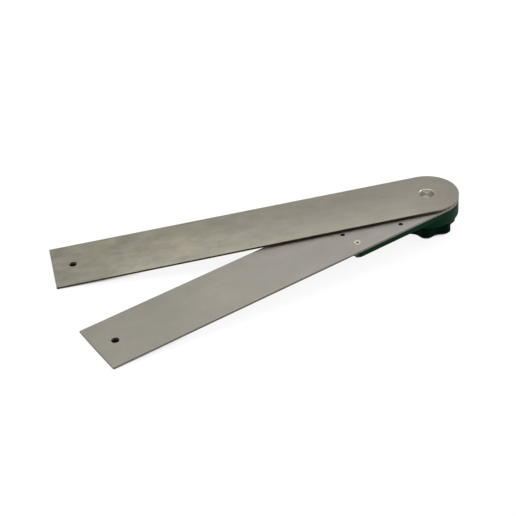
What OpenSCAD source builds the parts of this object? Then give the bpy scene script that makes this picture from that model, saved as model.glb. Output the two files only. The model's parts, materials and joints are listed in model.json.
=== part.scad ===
// Digital protractor: two steel blades on one pivot, lying display side down.
// The back blade is on top. The front blade carries the display housing under it.
// The origin is on the pivot axis at the flat face of the lock knob, with +Z up.
// The front blade runs along -X, and the back blade is turned by the rest angle.

/* [Blades] */
// Length of each blade from the pivot axis to its square end
blade_length = 200; // [150:1:300]
// Width of each blade, which is also the diameter of its round end
blade_width = 34; // [34:0.5:38]
// Thickness of each blade
blade_thickness = 1.2; // [1:0.1:2]
// Radius of the corners at the square end
blade_corner_radius = 0.6; // [0.3:0.1:3]
// Diameter of the hanging hole in each blade
hang_hole_diameter = 4; // [3:0.5:8]
// Distance of the hanging hole from the square end
hang_hole_inset = 10.4; // [8:0.2:20]
// Angle between the blades at rest, in degrees
rest_angle = 20.2; // [0:0.1:90]

/* [Pivot] */
// Diameter of the shaft head that is pressed into the back blade
head_diameter = 8.2; // [8:0.1:9]
// Depth of the shaft head below the outer face of the back blade
head_recess = 0.6; // [0.1:0.1:0.6]
// Diameter of the shaft where it turns in the front blade's bush
journal_diameter = 7; // [6.8:0.1:7.2]
// Diameter of the shaft where the rotor hub is clamped
hub_seat_diameter = 6; // [5.6:0.1:6.4]
// Diameter of the threaded end of the shaft
thread_diameter = 5; // [4:0.1:5.2]
// Wall of the bush in the front blade
bush_wall = 1.05; // [0.8:0.05:1.3]
// Thickness of the bush flange inside the housing
bush_flange = 0.4; // [0.3:0.05:0.5]
// Radial clearance of a shaft in its bush
running_clearance = 0.05; // [0.02:0.01:0.1]
// Thickness of the friction washer between the blades
spacer_thickness = 0.4; // [0.3:0.05:1]
// Diameter of the friction washer between the blades
spacer_diameter = 16; // [12:0.5:24]

/* [Lock knob] */
// Diameter of the knob over its lobes
knob_diameter = 31; // [28:0.5:34]
// Diameter of the knob between its lobes
knob_valley_diameter = 25.8; // [22:0.2:27]
// Height of the knob
knob_height = 7.15; // [6.5:0.05:12]
// Number of lobes
knob_lobes = 7; // [5:1:12]
// Direction of the first lobe, in degrees
knob_phase = -8.2; // [-30:0.1:30]
// Radius of the rounded outer edge of the knob
knob_edge_radius = 0.8; // [0.3:0.1:1.5]
// Diameter of the cap in the knob's face
cap_diameter = 13; // [11:0.5:16]
// Thickness of the cap in the knob's face
cap_thickness = 1.2; // [0.8:0.1:1.5]
// Outer diameter of the brass insert in the knob
insert_diameter = 8; // [7:0.1:10]
// Thickness of the thrust washer between knob and housing
thrust_thickness = 0.5; // [0.3:0.05:1]
// Diameter of the thrust washer
thrust_diameter = 19; // [12:0.5:24]

/* [Housing] */
// Distance of the housing's side from the blade's edge
housing_inset = 0.1; // [0:0.05:0.5]
// Length of the housing from the pivot axis to its end
strip_length = 57.2; // [57.2:0.2:90]
// Depth of the long part of the housing below the front blade
strip_depth = 6.5; // [6.5:0.1:7.2]
// Depth of the round part of the housing below the front blade
drum_depth = 8.25; // [8.1:0.05:12]
// Wall of the housing
wall = 1.4; // [1.2:0.05:1.6]
// Height of the upright part of the housing's side
side_height = 3; // [2.6:0.1:3.4]
// Width of the bevel along each side
side_bevel = 5; // [4.6:0.1:5.2]
// Width of the bevel at the end
end_bevel = 1; // [0.5:0.1:2]
// Radius of the upright corners at the end
strip_corner_radius = 2; // [1:0.1:4]
// Radius of the rounded edge of the round part
drum_edge_radius = 0.4; // [0.2:0.1:1]
// Thickness of the base plate under the front blade
base_thickness = 1; // [0.9:0.05:1.2]
// Thickness of the rim that locates the cover on the base
lip_thickness = 0.8; // [0.6:0.05:1]
// Height of the rim that locates the cover on the base
lip_height = 1.1; // [0.6:0.1:1.2]
// Clearance between pieces of the housing that fit in each other
fit_clearance = 0.1; // [0.05:0.01:0.15]

/* [Fasteners] */
// Diameter of the countersunk screw heads
screw_head_diameter = 3.7; // [3.2:0.1:4]
// Height of the countersunk screw heads
screw_head_height = 0.85; // [0.6:0.05:0.9]
// Diameter of the screw shanks
screw_diameter = 1.6; // [1.4:0.1:2]
// Diameter of the bosses that take the screws
boss_diameter = 3.5; // [3.2:0.1:3.8]
// Distance of the drum's screws from the pivot axis
drum_screw_radius = 14; // [13.8:0.1:14.1]
// Distance of the end screws from the end of the housing
end_screw_x = 3.2; // [2.8:0.1:3.6]
// Distance of the end screws from the sides of the housing
end_screw_y = 6.7; // [5.9:0.1:6.7]
// Distance of the middle cover screws from the middle of the coin cell, along the blade
mid_screw_x = 9.3; // [8.6:0.1:9.9]
// Distance of the middle cover screws from the sides of the housing
mid_screw_y = 3.7; // [3.5:0.1:3.7]
// Diameter of the pegs that locate the housing in the blade
peg_diameter = 2.2; // [1.5:0.1:2.4]
// Depth of the pegs below the outer face of the front blade
peg_recess = 0.7; // [0.2:0.1:0.8]
// Distance of the end peg from the end of the housing
end_peg_x = 1.4; // [1.3:0.1:2.6]
// Distance of the side pegs from the pivot axis, along the blade
side_peg_x = 27; // [20:0.1:34]
// Distance of the side pegs from the sides of the housing
side_peg_y = 5.3; // [3.9:0.1:6.9]

/* [Display] */
// Length of the display glass along the blade
lcd_length = 16.2; // [14:0.1:16.2]
// Width of the display glass
lcd_width = 14; // [12:0.1:14]
// Thickness of the display glass
lcd_thickness = 1.1; // [0.8:0.05:1.2]
// Distance of the near end of the display glass from the pivot axis
lcd_start = 17.9; // [17.7:0.1:18]
// Distance of the middle of the display glass from the blade's middle line
lcd_offset = 4.1; // [3.9:0.1:4.2]
// Thickness of the window
window_thickness = 0.9; // [0.6:0.05:1]
// Step of the window's edge
window_step = 1.1; // [0.6:0.1:1.2]
// Width of the rubber connectors at the display's edges
zebra_width = 1; // [0.8:0.1:1.4]

/* [Electronics] */
// Thickness of the circuit board
board_thickness = 0.8; // [0.6:0.05:0.9]
// Distance of the board's lower face from the base plate
board_drop = 2.3; // [2.25:0.05:2.4]
// Radius of the round part of the board
board_radius = 15; // [14.8:0.1:15.1]
// Width of the board's tongue under the display
board_tongue = 22.8; // [20:0.2:23]
// Radius of the hole round the rotor hub
board_hole_radius = 7; // [6.8:0.1:7.4]
// Diameter of the rotor disc
rotor_diameter = 23; // [20:0.5:23.4]
// Thickness of the rotor disc
rotor_thickness = 0.7; // [0.5:0.05:0.75]
// Gap between the rotor disc and the board
rotor_gap = 0.3; // [0.2:0.05:0.35]
// Diameter of the rotor hub's flange
hub_flange_diameter = 12.6; // [12:0.1:13]
// Diameter of the rotor hub's collar
hub_collar_diameter = 10; // [9.4:0.1:10.4]

/* [Buttons] */
// Diameter of the button caps
button_diameter = 4.4; // [4:0.1:4.8]
// Height of the button caps above the housing's face
button_proud = 0.8; // [0.3:0.1:1.5]
// Travel of the buttons
button_travel = 0.4; // [0.2:0.05:0.45]
// Distance between neighbouring buttons
button_pitch = 6.3; // [6.1:0.1:6.6]
// Distance of the middle button from the pivot axis
button_x = 25.1; // [24.8:0.1:25.6]
// Distance of the buttons from the blade's middle line
button_y = 7.4; // [7.3:0.1:7.8]

/* [Battery] */
// Diameter of the coin cell
cell_diameter = 20; // [19:0.5:20]
// Thickness of the coin cell
cell_thickness = 3.2; // [2.5:0.1:3.2]
// Distance of the middle of the coin cell from the end of the housing
cell_x = 11.7; // [11.7:0.1:12]
// Width of the battery door
door_width = 21.1; // [20:0.1:21.5]
// Thickness of the battery door
door_thickness = 1.2; // [1:0.05:1.25]
// Reach of the door's tongues into their grooves
tongue_reach = 0.75; // [0.5:0.05:0.8]
// Thickness of the door's tongues
tongue_thickness = 0.5; // [0.4:0.05:0.6]
// Clearance round the battery door
door_clearance = 0.15; // [0.1:0.01:0.2]

/* [Hidden] */
$fn = 96;

// Cuts run this far past the faces that they open
eps = 0.5;
// Air between pieces that rest on each other without touching all over
seat_gap = 0.05;

// Heights, from the knob's face upwards
face_z = knob_height + thrust_thickness;
front_z = face_z + drum_depth;
spacer_z = front_z + blade_thickness;
back_z = spacer_z + spacer_thickness;
top_z = back_z + blade_thickness;
base_z = front_z - base_thickness;
strip_z = front_z - strip_depth;
strip_floor_z = strip_z + wall;
drum_floor_z = face_z + wall;
side_z = front_z - side_height;
board_z = base_z - board_drop;
board_top_z = board_z + board_thickness;
rotor_z = board_top_z + rotor_gap;
rotor_top_z = rotor_z + rotor_thickness;
lcd_z = strip_floor_z + seat_gap;
lcd_top_z = lcd_z + lcd_thickness;

// Blades
hang_hole_place = [-blade_length + hang_hole_inset, 0];

// Housing in plan
housing_radius = blade_width / 2 - housing_inset;
face_half = housing_radius - side_bevel;
bevel_rise = side_z - strip_z;
bevel_length = sqrt(side_bevel * side_bevel + bevel_rise * bevel_rise);
// How far in the inner bevel lies from the outer one, measured level
inner_shift = wall * bevel_length / bevel_rise;
inner_half = housing_radius - wall;
inner_face_half = face_half + wall * side_bevel / bevel_rise - inner_shift;
inner_kink_z = strip_z + (inner_half - face_half + inner_shift) * bevel_rise / side_bevel;
inner_corner_radius = max(0.3, strip_corner_radius - wall);
cell_place = strip_length - cell_x;

// Pivot
journal_radius = journal_diameter / 2;
hub_seat_radius = hub_seat_diameter / 2;
thread_radius = thread_diameter / 2;
bush_radius = journal_radius + running_clearance + bush_wall;
shoulder_z = base_z - bush_flange - fit_clearance;
hub_flange_height = 0.7;
hub_flange_z = rotor_z - hub_flange_height;
hub_collar_height = 1.1;
hub_z = hub_flange_z - hub_collar_height;
ring_thickness = 0.4;
ring_gap = 0.2;
ring_z = hub_z - ring_gap - ring_thickness;
ring_radius = 4;
groove_depth = 0.4;
groove_radius = thread_radius - groove_depth;
cover_boss_radius = 5.2;
cover_boss_top = ring_z - fit_clearance;
cover_bush_wall = 0.85;
cover_bush_radius = thread_radius + running_clearance + cover_bush_wall;
bush_flange_reach = 0.8;
shaft_end_gap = 0.8;
shaft_end_z = cap_thickness + shaft_end_gap;
shaft_chamfer = 0.25;
dimple_radius = 0.5;
ring_opening = 2.4;
set_screw_radius = 0.9;
set_screw_socket_radius = 0.4;
set_screw_socket_x = 1;
set_screw_z = hub_z + hub_collar_height / 2;

// Fasteners
screw_radius = screw_diameter / 2;
screw_clearance = 0.02;
screw_hole_radius = screw_radius + screw_clearance;
boss_radius = boss_diameter / 2;
head_clearance = 0.1;
through_clearance = 0.3;
head_tip_step = 0.1;
through_radius = screw_radius + through_clearance;
head_tip_radius = screw_radius + head_tip_step;
recess_turn = 20;
recess_width = 0.44;
recess_length = 0.6 * screw_head_diameter;
recess_depth = 0.6 * screw_head_height;
tip_room = 0.3;
base_boss_height = 2;
blade_screw_length = blade_thickness + base_thickness + base_boss_height - tip_room - seat_gap;
cover_screw_length = 3.4;
drum_screw_angle = 60;
blade_screw_places = concat(
    [for (side = [-1, 1]) [-strip_length + end_screw_x, side * (housing_radius - end_screw_y)]],
    [for (side = [-1, 1]) drum_screw_radius * [cos(drum_screw_angle), side * sin(drum_screw_angle)]]
);
cover_screw_places = concat(
    [for (side = [-1, 1]) [-cell_place + mid_screw_x, side * (housing_radius - mid_screw_y)]],
    [for (side = [-1, 1]) drum_screw_radius * [-cos(drum_screw_angle), side * sin(drum_screw_angle)]]
);
board_screw_radius = 13.3;
board_screw_angles = [0, 150, -150];
board_screw_places = [for (angle = board_screw_angles) board_screw_radius * [cos(angle), sin(angle)]];
board_post_radius = 1.4;
board_screw_shank = 0.7;
board_screw_head = 1.25;
board_screw_head_height = 0.8;
board_screw_length = 3;
board_recess_size = [1.6, 0.3, board_screw_head_height];
board_boss_clearance = 0.25;
peg_radius = peg_diameter / 2;
peg_places = concat(
    [[-strip_length + end_peg_x, 0]],
    [for (side = [-1, 1]) [-side_peg_x, side * (housing_radius - side_peg_y)]]
);

// Display
lcd_x0 = -lcd_start - lcd_length;
lcd_x1 = -lcd_start;
lcd_y0 = lcd_offset - lcd_width / 2;
lcd_y1 = lcd_offset + lcd_width / 2;
window_corner = 0.8;
window_inset = 0.8;
zebra_inset = 0.3;
zebra_end_inset = 0.6;

// Electronics
chip_size = 5.5;
chip_height = 1;
chip_y = -11;
crystal_radius = 1;
crystal_length = 6;
crystal_y = 10;
capacitor_size = [1.6, 0.8, 0.8];
capacitor_places = [[-3, 12.6], [0, 12.6], [3, 12.6], [9.5, 4], [9.5, -4]];

// Buttons
button_radius = button_diameter / 2;
button_clearance = 0.2;
button_flange_reach = 0.7;
button_flange_radius = button_radius + button_flange_reach;
button_flange_z = strip_floor_z + seat_gap;
button_flange_height = 0.5;
button_stem_radius = 1.2;
dome_height = 0.35;
dome_radius = 2;
button_top_z = board_z - dome_height - seat_gap - button_travel;
button_places = [for (i = [-1, 0, 1]) [-button_x - i * button_pitch, -button_y]];

// Battery
cell_radius = cell_diameter / 2;
cell_gap = 0.3;
cell_step = 0.4;
cell_rim = 1.4;
cell_z = strip_z + door_thickness + cell_gap;
cell_top_z = cell_z + cell_thickness;
cradle_clearance = 0.2;
cradle_height = 1.7;
cradle_length = 16;
cradle_depth = 6;
cradle_y = 0.75 * cell_radius;
door_overlap = 0.6;
door_x = cell_place - cell_radius - door_overlap;
door_half = door_width / 2;
door_ridges = 4;
door_ridge_pitch = 1.6;
door_ridge_start = 4;
door_ridge_length = 8;
door_ridge_width = 0.7;
door_ridge_depth = 0.3;
tongue_z = strip_z + (door_thickness - tongue_thickness) / 2;
tongue_end = 1.5;
contact_thickness = 0.25;
contact_width = 3;
contact_offset = 3;
contact_gap = 0.08;
contact_foot = 2;
contact_lift = 0.3;
leaf_reach = 1;
leaf_slope = 5;
leaf_tip = 1.5;
leaf_leg_inset = 1.2;
board_end_gap = 0.4;
board_end_x = -(cell_place - cell_radius) + board_end_gap;

// Knob
knob_radius = knob_diameter / 2;
knob_valley_radius = knob_valley_diameter / 2;
knob_steps = 18;
lobe_power = 2.2;
insert_radius = insert_diameter / 2;
insert_flange_reach = 0.8;
insert_flange_radius = insert_radius + insert_flange_reach;
insert_flange_height = 0.8;
insert_flange_z = cap_thickness + insert_flange_height;
nut_radius = thread_radius + running_clearance;
insert_recess = 0.15;

steel = [0.62, 0.61, 0.58];
dark_steel = [0.45, 0.44, 0.42];
brass = [0.75, 0.6, 0.3];
green = [0.06, 0.22, 0.15];
dark_green = [0.03, 0.11, 0.08];
board_green = [0.05, 0.3, 0.12];

// A point on the knob's lobed outline
function lobe_point(angle) =
    let (wave = pow(abs(cos(knob_lobes * (angle - knob_phase) / 2)), lobe_power))
    (knob_valley_radius + (knob_radius - knob_valley_radius) * wave) * [cos(angle), sin(angle)];

// A quarter circle from the foot of an upright wall to the floor
function edge_arc(radius, edge, floor_z, steps = 6) =
    [for (i = [0 : steps]) let (a = 90 * i / steps)
        [radius - edge + edge * cos(a), floor_z + edge - edge * sin(a)]];

module ring(inner, outer, z0, z1) {
    rotate_extrude()
        translate([inner, z0])
            square([outer - inner, z1 - z0]);
}

module post(place, radius, z0, z1) {
    translate([place[0], place[1], z0])
        cylinder(r = radius, h = z1 - z0);
}

// A countersunk screw with its head's face at z and a cross recess
module countersunk_screw(place, z, length) {
    translate([place[0], place[1], z])
        difference() {
            union() {
                translate([0, 0, -screw_head_height])
                    cylinder(r1 = head_tip_radius, r2 = screw_head_diameter / 2, h = screw_head_height);
                translate([0, 0, -length])
                    cylinder(r = screw_radius, h = length - screw_head_height / 2);
            }
            for (turn = [0, 90])
                rotate(turn + recess_turn)
                    translate([-recess_length / 2, -recess_width / 2, -recess_depth])
                        cube([recess_length, recess_width, recess_depth + eps]);
        }
}

// The hole that a countersunk screw needs in a plate whose face is at z
module countersink(place, z, depth) {
    translate([place[0], place[1], z]) {
        translate([0, 0, -screw_head_height - head_clearance])
            cylinder(
                r1 = head_tip_radius, r2 = screw_head_diameter / 2 + head_clearance,
                h = screw_head_height + head_clearance
            );
        translate([0, 0, -depth - eps])
            cylinder(r = through_radius, h = depth + eps);
    }
}

// A plate from the pivot axis towards -X with rounded corners at its end
module long_plate(length, half, corner) {
    translate([-length + corner, -half])
        square([length - corner, 2 * half]);
    translate([-length, -half + corner])
        square([2 * corner, 2 * (half - corner)]);
    for (side = [-1, 1])
        translate([-length + corner, side * (half - corner)])
            circle(r = corner);
}

module blade_outline() {
    long_plate(blade_length, blade_width / 2, blade_corner_radius);
    circle(r = blade_width / 2);
}

module housing_outline(inset = 0) {
    long_plate(strip_length - inset, housing_radius - inset, max(0.3, strip_corner_radius - inset));
    circle(r = housing_radius - inset);
}

module in_back_blade() {
    rotate(-rest_angle)
        children();
}

module front_blade() {
    color(steel)
        difference() {
            translate([0, 0, front_z])
                linear_extrude(blade_thickness)
                    blade_outline();
            post([0, 0], bush_radius, front_z - eps, spacer_z + eps);
            post(hang_hole_place, hang_hole_diameter / 2, front_z - eps, spacer_z + eps);
            for (place = peg_places)
                post(place, peg_radius + fit_clearance, front_z - eps, spacer_z + eps);
            for (place = blade_screw_places)
                countersink(place, spacer_z, blade_thickness);
        }
}

module housing_base() {
    color(green)
        difference() {
            union() {
                translate([0, 0, base_z])
                    linear_extrude(base_thickness)
                        housing_outline();
                difference() {
                    translate([0, 0, base_z - lip_height])
                        linear_extrude(lip_height)
                            difference() {
                                housing_outline(wall + fit_clearance);
                                housing_outline(wall + fit_clearance + lip_thickness);
                            }
                    for (place = cover_screw_places)
                        post(place, boss_radius + fit_clearance, base_z - lip_height - eps, base_z);
                }
                intersection() {
                    translate([0, 0, base_z - base_boss_height])
                        linear_extrude(base_boss_height + base_thickness)
                            housing_outline(wall + fit_clearance);
                    for (place = blade_screw_places)
                        post(place, boss_radius, base_z - base_boss_height, front_z);
                }
                for (place = peg_places)
                    post(place, peg_radius, base_z, spacer_z - peg_recess);
            }
            post([0, 0], bush_radius, base_z - eps, front_z + eps);
            for (place = cover_screw_places)
                countersink(place, front_z, base_thickness);
            for (place = blade_screw_places)
                post(place, screw_hole_radius, base_z - base_boss_height - eps, front_z + eps);
        }
}

// A bevelled block from the pivot axis to the end of the housing
module bevelled_block(end_x, half, kink_z, flat_half, floor_z, corner) {
    intersection() {
        translate([end_x, 0, 0])
            rotate([90, 0, 90])
                linear_extrude(-end_x)
                    polygon([
                        [-half, base_z], [-half, kink_z], [-flat_half, floor_z],
                        [flat_half, floor_z], [half, kink_z], [half, base_z]
                    ]);
        translate([0, 0, floor_z - eps])
            linear_extrude(base_z - floor_z + 2 * eps)
                long_plate(-end_x, half, corner);
        translate([0, half + eps, 0])
            rotate([90, 0, 0])
                linear_extrude(2 * (half + eps))
                    polygon([
                        [end_x, base_z + eps], [end_x, side_z], [end_x + end_bevel, floor_z],
                        [0, floor_z], [0, base_z + eps]
                    ]);
    }
}

module strip_block() {
    bevelled_block(-strip_length, housing_radius, side_z, face_half, strip_z, strip_corner_radius);
}

module strip_cavity() {
    bevelled_block(
        -strip_length + wall, inner_half, inner_kink_z, inner_face_half, strip_floor_z,
        inner_corner_radius
    );
}

module cover_shell() {
    difference() {
        union() {
            strip_block();
            rotate_extrude()
                polygon(concat(
                    [[0, base_z], [housing_radius, base_z]],
                    edge_arc(housing_radius, drum_edge_radius, face_z),
                    [[0, face_z]]
                ));
        }
        strip_cavity();
        post([0, 0], inner_half, drum_floor_z, base_z + eps);
    }
}

// The blocks that hold the coin cell sideways, before its pocket is cut
module cell_cradle() {
    intersection() {
        strip_block();
        for (y = [cradle_y, -cradle_y - cradle_depth])
            translate([-cell_place - cradle_length / 2, y, strip_floor_z])
                cube([cradle_length, cradle_depth, cradle_height]);
    }
}

module window_plan(inset, corner) {
    x0 = lcd_x0 + inset;
    x1 = lcd_x1 - inset;
    y0 = lcd_y0 + inset;
    y1 = lcd_y1 - inset;
    for (step = [[corner, 0], [0, corner]])
        translate([x0 + step[0], y0 + step[1]])
            square([x1 - x0 - 2 * step[0], y1 - y0 - 2 * step[1]]);
    for (x = [x0 + corner, x1 - corner], y = [y0 + corner, y1 - corner])
        translate([x, y])
            circle(r = corner);
}

module door_cut() {
    half = door_half + door_clearance;
    translate([-strip_length - eps, -half, strip_z - eps])
        cube([strip_length + eps - door_x + door_clearance, 2 * half, wall + eps]);
    groove = half + tongue_reach;
    translate([-strip_length - eps, -groove, tongue_z - door_clearance])
        cube([
            strip_length + eps - door_x - tongue_end + door_clearance, 2 * groove,
            tongue_thickness + 2 * door_clearance
        ]);
}

module housing_cover() {
    color(green)
        difference() {
            union() {
                cover_shell();
                cell_cradle();
                post([0, 0], cover_boss_radius, face_z + drum_edge_radius, cover_boss_top);
                intersection() {
                    union() {
                        strip_block();
                        post([0, 0], housing_radius, drum_floor_z - eps, base_z);
                    }
                    for (place = cover_screw_places)
                        post(place, boss_radius, face_z + drum_edge_radius, base_z);
                }
                for (place = board_screw_places)
                    post(place, board_post_radius, drum_floor_z - eps, board_z);
            }
            post([0, 0], cover_bush_radius, face_z - eps, cover_boss_top + eps);
            post([-cell_place, 0], cell_radius + cradle_clearance, strip_floor_z, base_z + eps);
            for (place = cover_screw_places)
                post(place, screw_hole_radius, front_z - cover_screw_length - tip_room, base_z + eps);
            for (place = board_screw_places)
                post(
                    place, board_screw_shank + screw_clearance,
                    board_top_z - board_screw_length - tip_room, board_z + eps
                );
            translate([0, 0, strip_z - eps])
                linear_extrude(window_thickness + seat_gap + eps)
                    window_plan(window_inset - fit_clearance, window_corner);
            translate([0, 0, strip_z])
                linear_extrude(wall + eps)
                    window_plan(window_inset + window_step, window_corner);
            for (place = button_places)
                post(place, button_radius + button_clearance, strip_z - eps, strip_floor_z + eps);
            door_cut();
        }
}

module display_window() {
    color([0.8, 0.85, 0.85, 0.4])
        translate([0, 0, strip_z + seat_gap])
            linear_extrude(window_thickness)
                window_plan(window_inset, window_corner);
}

module lcd_panel() {
    color([0.55, 0.6, 0.5])
        translate([lcd_x0, lcd_y0, lcd_z])
            cube([lcd_length, lcd_width, lcd_thickness]);
}

module zebra_strips() {
    color([0.15, 0.15, 0.16])
        for (y = [lcd_y0 + zebra_inset, lcd_y1 - zebra_inset - zebra_width])
            translate([lcd_x0 + zebra_end_inset, y, lcd_top_z])
                cube([lcd_length - 2 * zebra_end_inset, zebra_width, board_z - lcd_top_z]);
}

module main_board() {
    color(board_green)
        difference() {
            translate([0, 0, board_z])
                linear_extrude(board_thickness)
                    union() {
                        circle(r = board_radius);
                        translate([board_end_x, -board_tongue / 2])
                            square([-board_end_x, board_tongue]);
                    }
            post([0, 0], board_hole_radius, board_z - eps, board_top_z + eps);
            for (place = concat(blade_screw_places, cover_screw_places))
                post(place, boss_radius + board_boss_clearance, board_z - eps, board_top_z + eps);
            for (place = board_screw_places)
                post(place, board_screw_shank + fit_clearance, board_z - eps, board_top_z + eps);
        }
}

module controller_chip() {
    color([0.1, 0.1, 0.1])
        translate([-chip_size / 2, chip_y - chip_size / 2, board_z - chip_height])
            cube([chip_size, chip_size, chip_height]);
}

module crystal_can() {
    color([0.7, 0.7, 0.7])
        translate([-crystal_length / 2, crystal_y, board_z - crystal_radius])
            rotate([0, 90, 0])
                cylinder(r = crystal_radius, h = crystal_length);
}

module board_capacitors() {
    color([0.6, 0.5, 0.35])
        for (place = capacitor_places)
            translate([place[0], place[1], board_z - capacitor_size[2] / 2])
                cube(capacitor_size, center = true);
}

module switch_domes() {
    color(steel)
        for (place = button_places)
            post(place, dome_radius, board_z - dome_height, board_z);
}

module board_screws() {
    color(steel)
        for (place = board_screw_places)
            difference() {
                union() {
                    post(place, board_screw_shank, board_top_z - board_screw_length, board_top_z);
                    post(place, board_screw_head, board_top_z, board_top_z + board_screw_head_height);
                }
                for (turn = [0, 90])
                    translate([place[0], place[1], board_top_z + board_screw_head_height])
                        rotate(turn)
                            cube(board_recess_size, center = true);
            }
}

module battery_cell() {
    color(steel)
        translate([-cell_place, 0, 0]) {
            post([0, 0], cell_radius, cell_z, cell_top_z - cell_step);
            post([0, 0], cell_radius - cell_rim, cell_top_z - cell_step, cell_top_z);
        }
}

// A clip that stands against the rim of the cell with its foot on the board
module battery_contact_positive() {
    color(brass) {
        x = -(cell_place - cell_radius) + contact_gap;
        y = -(contact_offset + contact_width) / 2;
        foot_z = cell_z + contact_lift;
        translate([x, y, foot_z])
            cube([contact_thickness, contact_width, board_top_z + contact_thickness - foot_z]);
        translate([x, y, board_top_z])
            cube([contact_thickness + contact_foot, contact_width, contact_thickness]);
    }
}

// A leaf under the base plate with one finger on the cell and one leg on the board
module battery_contact_negative() {
    leaf_z = base_z - contact_thickness;
    leg_x = board_end_x + leaf_leg_inset;
    finger_x = -cell_place + leaf_reach;
    tip_x = finger_x - leaf_tip;
    tip_z = cell_top_z + contact_lift;
    color(brass)
        translate([0, contact_offset + contact_width, 0])
            rotate([90, 0, 0])
                linear_extrude(contact_width)
                    polygon([
                        [leg_x, board_top_z], [leg_x, base_z], [finger_x + leaf_slope, base_z],
                        [finger_x, cell_top_z + contact_thickness], [tip_x, tip_z + contact_thickness],
                        [tip_x, tip_z], [finger_x, cell_top_z], [finger_x + leaf_slope, leaf_z],
                        [leg_x - contact_thickness, leaf_z], [leg_x - contact_thickness, board_top_z]
                    ]);
}

module blade_screws() {
    color(steel)
        for (place = blade_screw_places)
            countersunk_screw(place, spacer_z - seat_gap, blade_screw_length);
}

module cover_screws() {
    color(steel)
        for (place = cover_screw_places)
            countersunk_screw(place, front_z - seat_gap, cover_screw_length);
}

module shaft_bush() {
    color(brass) {
        ring(journal_radius + running_clearance, bush_radius, base_z - bush_flange, spacer_z);
        ring(bush_radius, bush_radius + bush_flange_reach, base_z - bush_flange, base_z);
    }
}

module cover_bush() {
    color(brass)
        ring(thread_radius + running_clearance, cover_bush_radius, face_z + fit_clearance, cover_boss_top);
}

module back_blade() {
    color(steel)
        in_back_blade()
            difference() {
                translate([0, 0, back_z])
                    linear_extrude(blade_thickness)
                        blade_outline();
                post([0, 0], head_diameter / 2, back_z - eps, top_z + eps);
                post(hang_hole_place, hang_hole_diameter / 2, back_z - eps, top_z + eps);
            }
}

module pivot_shaft() {
    head_z = top_z - head_recess;
    head_radius = head_diameter / 2;
    color(steel)
        in_back_blade()
            rotate_extrude()
                polygon([
                    [0, shaft_end_z], [thread_radius - shaft_chamfer, shaft_end_z],
                    [thread_radius, shaft_end_z + shaft_chamfer], [thread_radius, ring_z],
                    [groove_radius, ring_z], [groove_radius, ring_z + ring_thickness],
                    [hub_seat_radius, ring_z + ring_thickness], [hub_seat_radius, shoulder_z],
                    [journal_radius, shoulder_z], [journal_radius, back_z], [head_radius, back_z],
                    [head_radius, head_z - shaft_chamfer], [head_radius - shaft_chamfer, head_z],
                    [dimple_radius, head_z], [0, head_z - dimple_radius / 2]
                ]);
}

module blade_spacer() {
    color([0.85, 0.83, 0.78])
        ring(journal_radius + running_clearance, spacer_diameter / 2, spacer_z, back_z);
}

module rotor_hub() {
    collar_radius = hub_collar_diameter / 2;
    bore_radius = hub_seat_radius + screw_clearance;
    color(brass)
        in_back_blade()
            difference() {
                union() {
                    ring(bore_radius, collar_radius, hub_z, shoulder_z);
                    ring(bore_radius, hub_flange_diameter / 2, hub_flange_z, rotor_z);
                }
                translate([0, 0, set_screw_z])
                    rotate([0, 90, 0])
                        cylinder(r = set_screw_radius + screw_clearance, h = collar_radius + eps);
            }
}

module rotor_disc() {
    color(board_green)
        ring(hub_collar_diameter / 2 + screw_clearance, rotor_diameter / 2, rotor_z, rotor_top_z);
}

module hub_set_screw() {
    length = hub_collar_diameter / 2 - hub_seat_radius - seat_gap;
    color(dark_steel)
        in_back_blade()
            translate([hub_seat_radius + seat_gap, 0, set_screw_z])
                rotate([0, 90, 0])
                    difference() {
                        cylinder(r = set_screw_radius, h = length);
                        translate([0, 0, set_screw_socket_x])
                            cylinder(r = set_screw_socket_radius, h = length, $fn = 6);
                    }
}

// An open ring in the groove of the shaft
module retaining_ring() {
    color(dark_steel)
        in_back_blade()
            difference() {
                ring(groove_radius + screw_clearance, ring_radius, ring_z, ring_z + ring_thickness);
                translate([0, -ring_opening / 2, ring_z - eps])
                    cube([ring_radius + eps, ring_opening, ring_thickness + 2 * eps]);
            }
}

module thrust_washer() {
    color(steel)
        ring(thread_radius + running_clearance, thrust_diameter / 2, knob_height, face_z);
}

module lock_knob() {
    color(dark_green)
        in_back_blade()
            difference() {
                intersection() {
                    linear_extrude(knob_height)
                        polygon([
                            for (i = [0 : knob_lobes * knob_steps - 1])
                                lobe_point(360 * i / (knob_lobes * knob_steps))
                        ]);
                    rotate_extrude()
                        polygon(concat(
                            [[0, knob_height], [knob_radius, knob_height]],
                            edge_arc(knob_radius, knob_edge_radius, 0),
                            [[0, 0]]
                        ));
                }
                post([0, 0], cap_diameter / 2 + fit_clearance, -eps, cap_thickness);
                post([0, 0], insert_radius, cap_thickness - eps, knob_height + eps);
                post([0, 0], insert_flange_radius, cap_thickness - eps, insert_flange_z);
            }
}

module knob_insert() {
    color(brass)
        in_back_blade() {
            ring(nut_radius, insert_radius, cap_thickness, knob_height - insert_recess);
            ring(insert_radius, insert_flange_radius, cap_thickness, insert_flange_z);
        }
}

module knob_cap() {
    color(green)
        in_back_blade()
            post([0, 0], cap_diameter / 2, 0, cap_thickness);
}

module button(place) {
    color([0.1, 0.1, 0.1]) {
        post(place, button_radius, strip_z - button_proud, button_flange_z);
        post(place, button_flange_radius, button_flange_z, button_flange_z + button_flange_height);
        post(place, button_stem_radius, strip_floor_z, button_top_z);
    }
}

module power_button() {
    button(button_places[0]);
}

module zero_button() {
    button(button_places[1]);
}

module hold_button() {
    button(button_places[2]);
}

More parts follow.
